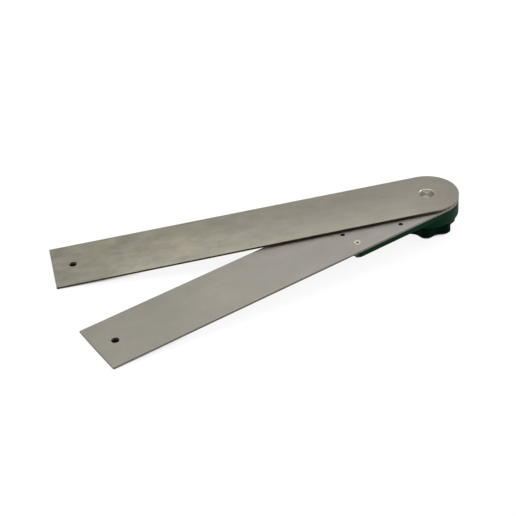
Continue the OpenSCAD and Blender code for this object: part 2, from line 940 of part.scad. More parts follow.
module battery_door() {
    color(green)
        intersection() {
            strip_block();
            difference() {
                union() {
                    translate([-strip_length, -door_half, strip_z])
                        cube([strip_length - door_x, 2 * door_half, door_thickness]);
                    translate([-strip_length, -door_half - tongue_reach, tongue_z])
                        cube([
                            strip_length - door_x - tongue_end, 2 * (door_half + tongue_reach),
                            tongue_thickness
                        ]);
                }
                for (i = [0 : door_ridges - 1])
                    translate([
                        -door_x - door_ridge_start - i * door_ridge_pitch, -door_ridge_length / 2,
                        strip_z - eps
                    ])
                        cube([door_ridge_width, door_ridge_length, door_ridge_depth + eps]);
            }
        }
}

front_blade();
housing_base();
housing_cover();
display_window();
lcd_panel();
zebra_strips();
main_board();
controller_chip();
crystal_can();
board_capacitors();
switch_domes();
board_screws();
battery_cell();
battery_contact_positive();
battery_contact_negative();
blade_screws();
cover_screws();
shaft_bush();
cover_bush();
back_blade();
pivot_shaft();
blade_spacer();
rotor_hub();
rotor_disc();
hub_set_screw();
retaining_ring();
thrust_washer();
lock_knob();
knob_insert();
knob_cap();
power_button();
zero_button();
hold_button();
battery_door();
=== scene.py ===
import json
import math

import bmesh
import bpy
from mathutils import Matrix, Vector


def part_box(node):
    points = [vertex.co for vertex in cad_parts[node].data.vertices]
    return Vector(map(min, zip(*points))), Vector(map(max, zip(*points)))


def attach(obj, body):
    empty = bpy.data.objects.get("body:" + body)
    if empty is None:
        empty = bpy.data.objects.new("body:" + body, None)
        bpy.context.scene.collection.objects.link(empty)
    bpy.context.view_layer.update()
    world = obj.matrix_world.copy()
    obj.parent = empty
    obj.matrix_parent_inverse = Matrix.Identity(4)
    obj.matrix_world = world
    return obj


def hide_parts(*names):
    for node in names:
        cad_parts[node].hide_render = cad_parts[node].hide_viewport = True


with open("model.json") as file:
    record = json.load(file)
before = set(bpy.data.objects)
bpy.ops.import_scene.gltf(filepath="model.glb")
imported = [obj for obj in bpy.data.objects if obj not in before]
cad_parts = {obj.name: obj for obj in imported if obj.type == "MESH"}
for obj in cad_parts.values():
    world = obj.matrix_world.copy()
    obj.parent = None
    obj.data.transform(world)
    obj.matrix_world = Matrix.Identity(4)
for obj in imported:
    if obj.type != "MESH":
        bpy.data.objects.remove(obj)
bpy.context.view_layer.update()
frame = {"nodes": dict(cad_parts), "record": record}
scene = bpy.context.scene
scene.view_settings.view_transform = "Standard"
MM = 0.001

# The camera, fitted to the photograph's edges and ellipses

FRAME_PX = 516
FOCAL_PX = 1302.26
PIVOT_PX = (426.12, 192.81)
CAMERA_AZIMUTH = math.radians(-30.86)
CAMERA_ELEVATION = math.radians(35.99)
CAMERA_ROLL = math.radians(-5.225)
CAMERA_DISTANCE = 0.69113
CLIP_START = 10 * MM
SENSOR = 36.0

# What the looks take from the part

REST_ANGLE = math.radians(20.2)
BLADE_LENGTH = -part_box("front_blade")[0].x
BLADE_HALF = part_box("front_blade")[1].y
HOLE_FROM_END = 10.4 * MM
PIVOT_HEAD_RADIUS = 4.1 * MM
KNOB_EDGE = 0.8 * MM
BODY_OF_NODE = {
    node: body for body, nodes in frame["record"]["behaviour"]["bodies"].items() for node in nodes
}
SLOT_OF_NODE = {row["node"]: row["material_slot"] for row in frame["record"]["subparts"]}

# The floor: its grey as a source of light, its white as seen, and a painted shadow where the object closes
# it in, darkest below the two hanging holes

FLOOR_SIZE = 6.0
FLOOR_DROP = 0.05 * MM
FLOOR_GREY = 0.55
FLOOR_LIT = 0.12
FLOOR_GLOW = 0.90
FLOOR_DARK = 0.004
CONTACT_REACH = 7 * MM
CONTACT_BAND = (0.60, 0.78)
SIDES_LOOKED_TO = 4
SIDE_LOOK_RISE = 0.35
HOLE_SHADE = 0.2
HOLE_SHADE_BAND = (4.5 * MM, 7 * MM)
PLANE_ROUNDS = 20

# The light

WORLD_LIGHT = 0.42
LAMPS = {
    "overhead": {"place": (0.05, 0.25, 1.1), "target": (-0.09, 0.03, 0.01), "size": 1.0, "power": 9.0},
    "right": {"place": (0.75, -0.35, 0.45), "target": (0, 0, 0), "size": 0.35, "power": 4.0},
}

# The blades' steel. Each pair of colours goes from the square end to the pivot. The faces' step to a lighter
# colour towards the pivot is partly the steel's tone and partly a painted gradient of light, and the walls'
# step is painted shade towards the square end and painted light towards the pivot.

BACK_BLADE = {
    "turn": REST_ANGLE,
    "face": ((0.187, 0.176, 0.145), (0.200, 0.188, 0.158)),
    "wall": ((0.060, 0.040, 0.029), (0.19, 0.175, 0.145)),
    "wall_shade_to_light": (-14 * MM, 10 * MM),
    "stains": 1.0,
    "tints": 0.55,
    # How strong the painted sheen along the face's near side is
    "painted_sheen": 0.36,
}
FRONT_BLADE = {
    "turn": 0.0,
    "face": ((0.192, 0.182, 0.155), (0.268, 0.253, 0.229)),
    "wall": ((0.16, 0.14, 0.12), (0.21, 0.197, 0.169)),
    "wall_shade_to_light": (-75 * MM, -45 * MM),
    "stains": 0.15,
    "tints": 0.15,
    "painted_sheen": 0.0,
}
# Painted shade on the walls of the blades' holes
PAINTED_HOLE_SHADE = (0.030, 0.026, 0.022)
OUTLINE_DEPTH = 0.8 * MM
# Painted highlight on the rounded rim about the pivot's head
PAINTED_RIM_HIGHLIGHT = (0.95, 0.9, 0.79)
RIM_WIDTH = 0.2 * MM
METAL_IOR = 2.5

# Places along a blade, counted from the pivot axis and negative towards the square end

# Where a face turns lighter towards the pivot, partly as a painted gradient of light
FACE_CHANGE = (-170 * MM, -10 * MM)
STAIN_CHANGE = (-60 * MM, -170 * MM)
STAIN_SHARES = (0.25, 1.0)
# Where the painted sheen on a blade's face lies
SHEEN_FROM_END = (-195 * MM, -165 * MM)
SHEEN_TO_PIVOT = (-15 * MM, 12 * MM)
SHEEN_ACROSS = (8 * MM, -BLADE_HALF)

# Noise layers of a blade: cycles per metre along and across it, shift, detail, roughness, band that counts

BLADE_NOISE = {
    "grain": (60, 2200, 0.0, 3.0, 0.5, None),
    "cloud": (20, 30, 0.0, 3.0, 0.5, None),
    "blotch": (110, 160, 0.0, 3.0, 0.6, None),
    "blue": (26, 44, 0.0, 2.0, 0.5, (0.48, 0.68)),
    "yellow": (22, 38, 0.4, 2.0, 0.5, (0.48, 0.68)),
    "smear": (55, 150, 0.0, 4.0, 0.6, (0.5, 0.7)),
    "pale": (24, 34, 0.9, 3.0, 0.5, (0.47, 0.66)),
    "speck": (260, 420, 0.0, 2.0, 0.5, (0.68, 0.76)),
}
EVEN_SHADES = {"cloud": 0.06, "blotch": 0.03}
WORN_BLOTCH = 0.16
GRAIN_SHADE = 0.035
FINE_SHADE = 0.03
FINE_NOISE = (1500, 1500, 1500)
WALL_SHADE = 0.2
WALL_NOISE = (350, 350, 900)
TINTS = {"blue": (0.96, 0.98, 1.06), "yellow": (1.03, 1.0, 0.90)}
STAINS = {"smear": (0.87, 0.85, 0.74), "pale": (1.18, 1.17, 1.08), "speck": (0.8, 0.68, 0.6)}
GRAIN_ROUGHS = (0.34, 0.42)
SMEAR_ROUGH = 0.02
WALL_ROUGH = 0.6
GRAIN_BUMP = (0.004 * MM, 0.4)

# How level a surface is where a blade's wall or rim turns into its face, from 0 upright to 1 level

WALL_TO_FACE = (0.15, 0.5)
WALL_ROUGH_TO_FACE = (0.2, 0.6)
RIM_TO_FACE = (0.7, 0.9)

# Bands of noise that spread a shade or a roughness, as most of a noise lies about its middle

SHADE_BAND = (0.25, 0.75)
ROUGH_BAND = (0.3, 0.7)

# Plastics and metals. A bump is its depth and its strength, and a noise is its cycles per metre.

PLASTICS = {
    "housing_green": {"colour": (0.0038, 0.0265, 0.0130), "roughs": (0.45, 0.57), "specular": 0.04},
    # knob_green is the housing's green made darker: painted shade, as the knob lies in shade
    "knob_green": {"colour": (0.0006, 0.0115, 0.0065), "roughs": (0.40, 0.52), "specular": 0.015},
    "button_black": {"colour": (0.03, 0.03, 0.03), "roughs": (0.55, 0.67), "specular": 0.3},
    "black_rubber": {"colour": (0.025, 0.025, 0.028), "roughs": (0.65, 0.77), "specular": 0.3},
    "black_plastic": {"colour": (0.02, 0.02, 0.02), "roughs": (0.45, 0.57), "specular": 0.5},
    "ceramic": {"colour": (0.32, 0.2, 0.11), "roughs": (0.35, 0.47), "specular": 0.5},
    "washer_plastic": {"colour": (0.035, 0.024, 0.018), "roughs": (0.50, 0.62), "specular": 0.5},
}
PLASTIC_PITCH = 0.22 * MM
PLASTIC_NOISE = 90.0
PLASTIC_SHADE = 0.14
PITCH_SHADE = 0.06
PLASTIC_BUMP = (0.012 * MM, 0.7)
METALS = {
    "bright_steel": {"colour": (0.50, 0.49, 0.46), "roughs": (0.16, 0.32)},
    "dark_steel": {"colour": (0.05, 0.05, 0.052), "roughs": (0.34, 0.50)},
    "spring_brass": {"colour": (0.55, 0.4, 0.16), "roughs": (0.24, 0.40)},
    "turned_brass": {"colour": (0.5, 0.36, 0.15), "roughs": (0.20, 0.36)},
}
METAL_NOISE = (900, 900, 900)
METAL_SHADE = 0.15
METAL_BUMP = (0.001 * MM, 0.3)
SCREW_STEEL = (0.50, 0.46, 0.37)
SCREW_ROUGHS = (0.16, 0.32)
SCREW_BROWN = (0.09, 0.04, 0.012)
SCREW_BROWN_DEPTH = 0.12 * MM
SHAFT_STEEL = (0.165, 0.153, 0.135)
SHAFT_NOISE = (500, 500, 500)
SHAFT_SHADE = 0.2
SHAFT_ROUGHS = (0.15, 0.28)
RING_TONE = (0.08, 0.075, 0.07)
RING_SHARE = 0.3
RING_PITCH = 0.42 * MM
RING_BUMP = (0.03 * MM, 1.0)

# Window, display, board and ink

LENS_TINT = (0.94, 0.97, 0.95, 1)
LENS_IOR = 1.49
LENS_NOISE = (300, 120, 120)
LENS_BAND = (0.4, 0.75)
LENS_ROUGHS = (0.01, 0.06)
LENS_BUMP = (0.002 * MM, 0.3)
GLASS_TONES = ((0.30, 0.34, 0.26), (0.35, 0.385, 0.30))
GLASS_NOISE = 70.0
GLASS_ROUGHS = (0.25, 0.35)
CELL_NOISE = 5200.0
CELL_SHADE = 0.04
MASK_GREENS = ((0.012, 0.10, 0.035), (0.03, 0.2, 0.07))
MASK_ROUGH = 0.32
TRACKS = {"Scale": 420.0, "Mortar_Size": 0.035, "Brick_Width": 1.6, "Row_Height": 0.45}
TRACK_BUMP = (0.02 * MM, 0.5)
PAD_NOISE = 480.0
PAD_BAND = (0.12, 0.16)
PAD_TIN = (0.62, 0.6, 0.56)
PAD_ROUGH = 0.22
BLACK_INK = (0.012, 0.012, 0.013)
PALE_INK = (0.6, 0.6, 0.58)
INK_NOISE = 2500.0
INK_SHADE = 0.2
INK_ROUGHS = (0.4, 0.6)

# Edges. Each of these solids is replaced by a copy whose edges are rounded by the width given.

EDGE_WIDTHS = {
    "front_blade": 0.1 * MM,
    "back_blade": 0.1 * MM,
    "pivot_shaft": 0.06 * MM,
    "blade_screws": 0.05 * MM,
    "housing_base": 0.12 * MM,
    "housing_cover": 0.12 * MM,
    "battery_door": 0.12 * MM,
    "lock_knob": 0.14 * MM,
    "knob_cap": 0.15 * MM,
    "display_window": 0.08 * MM,
    "power_button": 0.2 * MM,
    "zero_button": 0.2 * MM,
    "hold_button": 0.2 * MM,
}
EDGE_SEGMENTS = 2
BUTTON_SEGMENTS = 3
RIM_SEGMENTS = 4
EDGE_ANGLE = math.radians(32)
SMOOTH_ANGLE = math.radians(40)
FLAT_ANGLE = math.radians(0.5)
RIM_TOLERANCE = 0.02 * MM
CAD_MERGE = 0.0005 * MM
BEVEL_MERGE = 0.0001 * MM
INK_MERGE = 0.001 * MM

# Marks on the display side, which all face down and read from below

INK_DEPTH = 0.02 * MM
INK_SINK = 0.004 * MM
FONT_STEPS = 3
RING_CORNERS = 24
SEGMENT_WIDTH = 0.6 * MM
SEGMENT_GAP = 0.06 * MM
DIGIT_WIDTH = 2.3 * MM
DIGIT_HALF_HEIGHT = 2.4 * MM
SEGMENT_ENDS = {
    "a": ((0, 2), (1, 2)),
    "b": ((1, 1), (1, 2)),
    "c": ((1, 0), (1, 1)),
    "d": ((0, 0), (1, 0)),
    "e": ((0, 0), (0, 1)),
    "f": ((0, 1), (0, 2)),
    "g": ((0, 1), (1, 1)),
}
SEGMENTS_OF_DIGIT = {"0": "abcdef", "2": "abdeg"}
DISPLAY_START = 5.1 * MM
DISPLAY_DIGITS = (("2", 0.0), ("0", 3.1 * MM), ("2", 6.7 * MM))
POINT_PLACE = 6.05 * MM
DEGREE_PLACE = 9.9 * MM
DEGREE_DROP = 0.3 * MM
DEGREE_RADII = (0.55 * MM, 0.28 * MM)
FIGURES_BELOW_PANEL = 0.03 * MM
BORDER_ABOVE_WINDOW = 0.02 * MM
BORDER_INSETS = (0.1 * MM, 1.5 * MM)
SCALE_STEP = 1 * MM
FRONT_SCALE_LAST = 138
BACK_SCALE_LAST = 178
TICK_WIDTH = 0.14 * MM
TICK_INSET = 0.3 * MM
TENTH_TICK = 5.5 * MM
FIFTH_TICK = 4.2 * MM
OTHER_TICK = 3.0 * MM
NUMBER_INSET = 7.6 * MM
NUMBER_SIZE = 3.0 * MM
SWITCH_WORDS_OFFSET = (-0.6 * MM, 0.95 * MM)
SWITCH_WORDS_SIZE = 1.25 * MM


# Node trees

class Look:
    """A node tree of a material or of the world, with short calls for the nodes that they share."""

    def __init__(self, owner, output="ShaderNodeOutputMaterial"):
        owner.use_nodes = True
        self.owner = owner
        self.nodes = owner.node_tree.nodes
        self.links = owner.node_tree.links
        self.nodes.clear()
        self.output = self.nodes.new(output)

    def add(self, kind, **values):
        """A node with values on its inputs, whose names have underscores for spaces."""
        node = self.nodes.new(kind)
        for name, value in values.items():
            node.inputs[name.replace("_", " ")].default_value = value
        return node

    def join(self, source, target):
        """Links a socket to an input, or sets the input to a number."""
        if isinstance(source, bpy.types.NodeSocket):
            self.links.new(source, target)
        else:
            target.default_value = source

    def surface(self, node):
        """Ends the tree with a shader."""
        self.join(node.outputs[0], self.output.inputs["Surface"])
        return node

    def shader(self, **values):
        """A principled shader that ends the tree."""
        return self.surface(self.add("ShaderNodeBsdfPrincipled", **values))

    def rough(self, shader, value, roughs):
        """Spreads a shader's roughness over a noise."""
        self.join(self.band(value, *ROUGH_BAND, *roughs), shader.inputs["Roughness"])

    def bump(self, shader, height, depth, strength):
        """Raises a shader's surface by a noise or a wave."""
        node = self.add("ShaderNodeBump", Strength=strength, Distance=depth)
        self.join(height, node.inputs["Height"])
        self.join(node.outputs[0], shader.inputs["Normal"])

    def either(self, share, first, second):
        """Mixes two shaders."""
        node = self.add("ShaderNodeMixShader")
        self.join(share, node.inputs[0])
        self.join(first.outputs[0], node.inputs[1])
        self.join(second.outputs[0], node.inputs[2])
        return node

    def place(self, scale=(1, 1, 1), turn=0.0, shift=0.0):
        """The piece's own coordinates in metres, turned about Z, scaled and shifted."""
        source = self.add("ShaderNodeTexCoord")
        turned = self.add("ShaderNodeVectorRotate", Angle=turn)
        turned.rotation_type = "Z_AXIS"
        scaled = self.add("ShaderNodeVectorMath")
        scaled.operation = "MULTIPLY_ADD"
        scaled.inputs[1].default_value = scale
        scaled.inputs[2].default_value = (shift, shift, shift)
        self.join(source.outputs["Object"], turned.inputs["Vector"])
        self.join(turned.outputs["Vector"], scaled.inputs[0])
        return scaled.outputs["Vector"]

    def part(self, vector, axis):
        """The X, Y or Z of a vector."""
        parts = self.add("ShaderNodeSeparateXYZ")
        self.join(vector, parts.inputs[0])
        return parts.outputs[axis]

    def distance(self, vector, point):
        """How far a vector is from a point."""
        node = self.add("ShaderNodeVectorMath")
        node.operation = "DISTANCE"
        node.inputs[1].default_value = point
        self.join(vector, node.inputs[0])
        return node.outputs["Value"]

    def from_axis(self):
        """The distance from the pivot axis in metres."""
        return self.distance(self.place((1, 1, 0)), (0, 0, 0))

    def noise(self, vector, scale=1.0, detail=2.0, rough=0.5, spread=None):
        """Noise from 0 to 1, or the share of a band of it that is given as a spread."""
        node = self.add("ShaderNodeTexNoise", Scale=scale, Detail=detail, Roughness=rough)
        self.join(vector, node.inputs["Vector"])
        value = node.outputs["Fac"]
        return self.band(value, *spread) if spread else value

    def band(self, value, low, high, to_low=0.0, to_high=1.0, smooth=False):
        """Maps a band of values to another one and holds it at the ends."""
        node = self.add("ShaderNodeMapRange", From_Min=low, From_Max=high, To_Min=to_low, To_Max=to_high)
        node.clamp = True
        node.interpolation_type = "SMOOTHSTEP" if smooth else "LINEAR"
        self.join(value, node.inputs["Value"])
        return node.outputs["Result"]

    def math(self, operation, first, second=0.0):
        """One step of arithmetic with sockets or numbers."""
        node = self.add("ShaderNodeMath")
        node.operation = operation
        self.join(first, node.inputs[0])
        self.join(second, node.inputs[1])
        return node.outputs[0]

    def product(self, *values):
        """Several sockets or numbers multiplied."""
        result = values[0]
        for value in values[1:]:
            result = self.math("MULTIPLY", result, value)
        return result

    def mix(self, share, first, second, blend="MIX"):
        """Mixes two colours, each one a socket or three numbers."""
        node = self.add("ShaderNodeMix")
        node.data_type = "RGBA"
        node.blend_type = blend
        self.join(share, node.inputs["Factor"])
        for colour, name in ((first, "A_Color"), (second, "B_Color")):
            target = next(s for s in node.inputs if s.identifier == name)
            self.join(colour if isinstance(colour, bpy.types.NodeSocket) else (*colour, 1), target)
        return next(s for s in node.outputs if s.identifier == "Result_Color")

    def shade(self, colour, value, amount):
        """Makes a colour lighter and darker by up to the amount, as a grey value says."""
        grey = self.band(value, *SHADE_BAND, 1 - amount, 1 + amount)
        return self.mix(1.0, colour, grey, "MULTIPLY")

    def facing_up(self):
        """How level the surface is, from 0 on an upright wall to 1 on a level face."""
        source = self.add("ShaderNodeTexCoord")
        return self.math("ABSOLUTE", self.part(source.outputs["Normal"], "Z"))

    def ray_kinds(self):
        """1 for a ray that a mirror or glass sends on, and 1 for any ray that shows in the picture."""
        path = self.add("ShaderNodeLightPath")
        mirrored = self.math("MAXIMUM", path.outputs["Is Glossy Ray"], path.outputs["Is Transmission Ray"])
        return mirrored, self.math("MAXIMUM", mirrored, path.outputs["Is Camera Ray"])


def material_look(name):
    """The empty node tree of a new material."""
    return Look(bpy.data.materials.new(name))


# Camera, floor and light

def link(name, data):
    """A new object of the scene."""
    piece = bpy.data.objects.new(name, data)
    scene.collection.objects.link(piece)
    return piece


def add_camera():
    """Puts the camera where the photograph was taken from."""
    az, el, roll = CAMERA_AZIMUTH, CAMERA_ELEVATION, CAMERA_ROLL
    back = Vector((math.sin(az) * math.cos(el), -math.cos(az) * math.cos(el), math.sin(el)))
    right = Vector((math.cos(az), math.sin(az), 0))
    up = back.cross(right)
    turned_right = math.cos(roll) * right + math.sin(roll) * up
    turned_up = -math.sin(roll) * right + math.cos(roll) * up
    middle = (FRAME_PX - 1) / 2
    pivot = Vector((0, 0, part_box("back_blade")[1].z))
    slope_x = (PIVOT_PX[0] - middle) / FOCAL_PX
    slope_y = (middle - PIVOT_PX[1]) / FOCAL_PX
    place = pivot + CAMERA_DISTANCE * (back - slope_x * turned_right - slope_y * turned_up)
    data = bpy.data.cameras.new("camera")
    data.sensor_width = SENSOR
    data.lens = SENSOR * FOCAL_PX / FRAME_PX
    data.clip_start = CLIP_START
    camera = link("camera", data)
    turn = Matrix((turned_right, turned_up, back)).transposed()
    camera.matrix_world = Matrix.Translation(place) @ turn.to_4x4()
    scene.camera = camera


def on_blade(turn, from_axis):
    """A point on the middle line of a blade that is turned from -X, at rest."""
    return Matrix.Rotation(turn, 3, "Z") @ Vector((-from_axis, 0, 0))


def resting_plane():
    """Slopes and height of the plane that touches the knob's rim and both blades' ends."""
    knob_low, knob_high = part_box("lock_knob")
    rim = (knob_high.x - knob_low.x) / 2 - KNOB_EDGE
    tips = []
    for node, turn in (("front_blade", 0.0), ("back_blade", -REST_ANGLE)):
        tip = on_blade(turn, BLADE_LENGTH)
        tip.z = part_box(node)[0].z
        tips.append(tip)
    tips_to_slopes = Matrix([tip.xy for tip in tips]).inverted()
    height = 0.0
    for _ in range(PLANE_ROUNDS):
        slopes = tips_to_slopes @ Vector([tip.z - height for tip in tips])
        height = -rim * slopes.length
    return slopes.x, slopes.y, height


def near_holes(look):
    """1 on the floor below the two hanging holes, where the painted shadow is made darker, and 0 elsewhere.
    """
    flat = look.place((1, 1, 0))
    nearest = 1.0
    for turn in (0.0, -REST_ANGLE):
        hole = on_blade(turn, BLADE_LENGTH - HOLE_FROM_END)
        nearest = look.math("MINIMUM", nearest, look.distance(flat, hole))
    return look.band(nearest, *HOLE_SHADE_BAND, 1.0, 0.0)


def floor_contact(look):
    """A painted shadow: 1 on the open floor, and nearly 0 where the object is close on every side and below
    the hanging holes.
    """
    open_side = 0.0
    for side in range(SIDES_LOOKED_TO):
        turn = side * math.tau / SIDES_LOOKED_TO
        towards = look.add("ShaderNodeCombineXYZ", X=math.cos(turn), Y=math.sin(turn), Z=SIDE_LOOK_RISE)
        openness = look.add("ShaderNodeAmbientOcclusion", Distance=CONTACT_REACH)
        look.join(towards.outputs[0], openness.inputs["Normal"])
        open_side = look.math("MAXIMUM", open_side, openness.outputs["AO"])
    # The painted shadow is made darker still below the two hanging holes
    open_side = look.math("SUBTRACT", open_side, look.product(near_holes(look), HOLE_SHADE))
    return look.band(open_side, *CONTACT_BAND, FLOOR_DARK, 1.0, smooth=True)


def floor_material():
    """White as seen with a painted shadow near the object, grey as a source of light and clear from below.
    """
    look = material_look("floor")
    mirrored, seen = look.ray_kinds()
    # The painted shadow darkens the floor as seen, but not in mirrors
    floor_shadow_share = look.math("MAXIMUM", floor_contact(look), mirrored)
    plain = look.add("ShaderNodeBsdfDiffuse", Color=(FLOOR_GREY, FLOOR_GREY, FLOOR_GREY, 1))
    lit = look.add("ShaderNodeBsdfDiffuse")
    look.join(look.product(floor_shadow_share, FLOOR_LIT), lit.inputs["Color"])
    glow = look.add("ShaderNodeEmission")
    look.join(look.product(floor_shadow_share, FLOOR_GLOW), glow.inputs["Strength"])
    white = look.add("ShaderNodeAddShader")
    look.join(lit.outputs[0], white.inputs[0])
    look.join(glow.outputs[0], white.inputs[1])
    front = look.either(seen, plain, white)
    below = look.add("ShaderNodeNewGeometry").outputs["Backfacing"]
    look.surface(look.either(below, front, look.add("ShaderNodeBsdfTransparent")))
    return look.owner


def add_floor():
    """A plain floor under the object, which rests on its knob and on its blades' ends."""
    slope_x, slope_y, height = resting_plane()
    normal = Vector((-slope_x, -slope_y, 1)).normalized()
    half = FLOOR_SIZE / 2
    corners = []
    for x, y in ((-half, -half), (half, -half), (half, half), (-half, half)):
        corner = Vector((x, y, slope_x * x + slope_y * y + height))
        corners.append(corner - normal * FLOOR_DROP)
    mesh = bpy.data.meshes.new("floor")
    mesh.from_pydata(corners, [], [(0, 1, 2, 3)])
    mesh.materials.append(floor_material())
    link("floor", mesh)


def add_world():
    """An even pale light, which camera, mirror and glass rays see as white."""
    look = Look(bpy.data.worlds.new("world"), "ShaderNodeOutputWorld")
    scene.world = look.owner
    light = look.add("ShaderNodeBackground", Color=(1, 1, 1, 1), Strength=WORLD_LIGHT)
    white = look.add("ShaderNodeBackground", Color=(1, 1, 1, 1), Strength=1.0)
    look.surface(look.either(look.ray_kinds()[1], light, white))


def add_lamps():
    """Round soft lamps, each turned towards its target."""
    for name, values in LAMPS.items():
        data = bpy.data.lights.new(name, "AREA")
        data.shape = "DISK"
        data.size = values["size"]
        data.energy = values["power"]
        lamp = link(name, data)
        lamp.location = values["place"]
        lamp.rotation_mode = "QUATERNION"
        towards = Vector(values["target"]) - Vector(values["place"])
        lamp.rotation_quaternion = towards.to_track_quat("-Z", "Y")


# Materials

def blade_face(look, blade, layers, along, across):
    """A blade's flat faces: lighter towards the pivot, partly as a painted gradient of light, and lighter
    along one side as a painted sheen, with faint tints, stains and a fine grain.
    """
    # Lighter towards the pivot: partly the steel's tone, partly a painted gradient of light
    colour = look.mix(look.band(along, *FACE_CHANGE), *blade["face"])
    towards_side = look.band(across, *SHEEN_ACROSS)
    away_from_end = look.band(along, *SHEEN_FROM_END)
    before_round_end = look.band(along, *SHEEN_TO_PIVOT, 1.0, 0.0)
    # A painted sheen: the face is made lighter towards its near side, away from both ends
    lighter = look.product(towards_side, away_from_end, before_round_end, blade["painted_sheen"])
    colour = look.mix(1.0, colour, look.math("ADD", lighter, 1.0), "MULTIPLY")
    for name, amount in EVEN_SHADES.items():
        colour = look.shade(colour, layers[name], amount)
    stained = look.product(look.band(along, *STAIN_CHANGE, *STAIN_SHARES), blade["stains"])
    colour = look.mix(stained, colour, look.shade(colour, layers["blotch"], WORN_BLOTCH))
    for name, tint in TINTS.items():
        colour = look.mix(look.product(layers[name], blade["tints"]), colour, tint, "MULTIPLY")
    for name, tint in STAINS.items():
        colour = look.mix(look.product(layers[name], stained), colour, tint, "MULTIPLY")
    colour = look.shade(colour, layers["grain"], GRAIN_SHADE)
    return look.shade(colour, look.noise(look.place(FINE_NOISE)), FINE_SHADE)


def outer_edge(look, turn):
    """1 on the outline of a blade and 0 on the walls of its holes."""
    place = look.place((1, 1, 1), turn)
    along = look.part(place, "X")
    across = look.part(place, "Y")
    past_axis = look.math("MAXIMUM", along, 0.0)
    squares = look.math("ADD", look.product(past_axis, past_axis), look.product(across, across))
    reach = look.math("SQRT", squares)
    round_edge = look.band(reach, BLADE_HALF - OUTLINE_DEPTH, BLADE_HALF - OUTLINE_DEPTH / 2)
    from_end = look.math("ADD", along, BLADE_LENGTH)
    square_end = look.band(from_end, OUTLINE_DEPTH / 2, OUTLINE_DEPTH, 1.0, 0.0)
    return look.math("MAXIMUM", round_edge, square_end)


def blade_wall(look, blade, along):
    """A blade's sheared sides, in painted shade towards the square end and in painted light towards the
    pivot, and the walls of its holes in painted shade.
    """
    # Painted shade towards the square end, turning into painted light towards the pivot
    colour = look.mix(look.band(along, *blade["wall_shade_to_light"]), *blade["wall"])
    colour = look.shade(colour, look.noise(look.place(WALL_NOISE)), WALL_SHADE)
    # The walls of the holes take the painted shade
    return look.mix(outer_edge(look, blade["turn"]), PAINTED_HOLE_SHADE, colour)


def blade_steel(name, blade):
    """Rolled steel with a fine grain along the blade, and a painted highlight on the rim about the pivot's
    head.
    """
    look = material_look(name)
    shader = look.shader(Metallic=1.0, IOR=METAL_IOR)
    layers = {}
    for layer, (length, width, shift, detail, rough, spread) in BLADE_NOISE.items():
        place = look.place((length, width, width), blade["turn"], shift)
        layers[layer] = look.noise(place, detail=detail, rough=rough, spread=spread)
    place = look.place((1, 1, 1), blade["turn"])
    along = look.part(place, "X")
    face = blade_face(look, blade, layers, along, look.part(place, "Y"))
    level = look.facing_up()
    colour = look.mix(look.band(level, *WALL_TO_FACE), blade_wall(look, blade, along), face)
    # A painted highlight on the rounded rim about the pivot's head
    rim_end = PIVOT_HEAD_RADIUS + RIM_WIDTH
    near_axis = look.band(look.from_axis(), rim_end - RIM_TOLERANCE, rim_end + 2 * RIM_TOLERANCE, 1.0, 0.0)
    steep = look.band(level, *RIM_TO_FACE, 1.0, 0.0)
    colour = look.mix(look.product(near_axis, steep), colour, PAINTED_RIM_HIGHLIGHT)
    look.join(colour, shader.inputs["Base Color"])
    grain_rough = look.band(layers["grain"], *ROUGH_BAND, *GRAIN_ROUGHS)
    face_rough = look.math("ADD", grain_rough, look.product(layers["smear"], SMEAR_ROUGH))
    wall_rough = look.band(level, *WALL_ROUGH_TO_FACE, WALL_ROUGH, 0.0)
    look.join(look.math("MAXIMUM", face_rough, wall_rough), shader.inputs["Roughness"])
    look.bump(shader, layers["grain"], *GRAIN_BUMP)
    return look.owner


def turned_steel(name):
    """Steel with the fine rings of a lathe tool about the pivot axis."""
    look = material_look(name)
    shader = look.shader(Metallic=1.0, IOR=METAL_IOR)
    wave = look.math("SINE", look.product(look.from_axis(), math.tau / RING_PITCH))
    uneven = look.noise(look.place(SHAFT_NOISE), detail=3.0)
    colour = look.shade(SHAFT_STEEL, uneven, SHAFT_SHADE)
    colour = look.mix(look.band(wave, -1, 1, 0.0, RING_SHARE), colour, RING_TONE)
    look.join(colour, shader.inputs["Base Color"])
    look.rough(shader, uneven, SHAFT_ROUGHS)
    look.bump(shader, wave, *RING_BUMP)
    return look.owner


def plated_metal(name, colour, roughs, recess=None):
    """Plated or polished metal. A recess is a height, a depth below it and the tint of what is deeper."""
    look = material_look(name)
    shader = look.shader(Metallic=1.0, IOR=METAL_IOR)
    uneven = look.noise(look.place(METAL_NOISE), detail=4.0)
    colour = look.shade(colour, uneven, METAL_SHADE)
    if recess:
        top, depth, tint = recess
        deeper = look.band(look.part(look.place(), "Z"), top - depth, top, 1.0, 0.0)
        colour = look.mix(deeper, colour, tint)
    look.join(colour, shader.inputs["Base Color"])
    look.rough(shader, uneven, roughs)
    look.bump(shader, uneven, *METAL_BUMP)
    return look.owner


def moulded_plastic(name, colour, roughs, specular):
    """Moulded plastic with a fine spark-eroded texture and slightly uneven colour."""
    look = material_look(name)
    shader = look.shader(Specular_IOR_Level=specular)
    fine = look.noise(look.place(), scale=1 / PLASTIC_PITCH)
    broad = look.noise(look.place(), scale=PLASTIC_NOISE, detail=3.0)
    colour = look.shade(colour, broad, PLASTIC_SHADE)
    look.join(look.shade(colour, fine, PITCH_SHADE), shader.inputs["Base Color"])
    look.rough(shader, broad, roughs)
    look.bump(shader, fine, *PLASTIC_BUMP)
    return look.owner


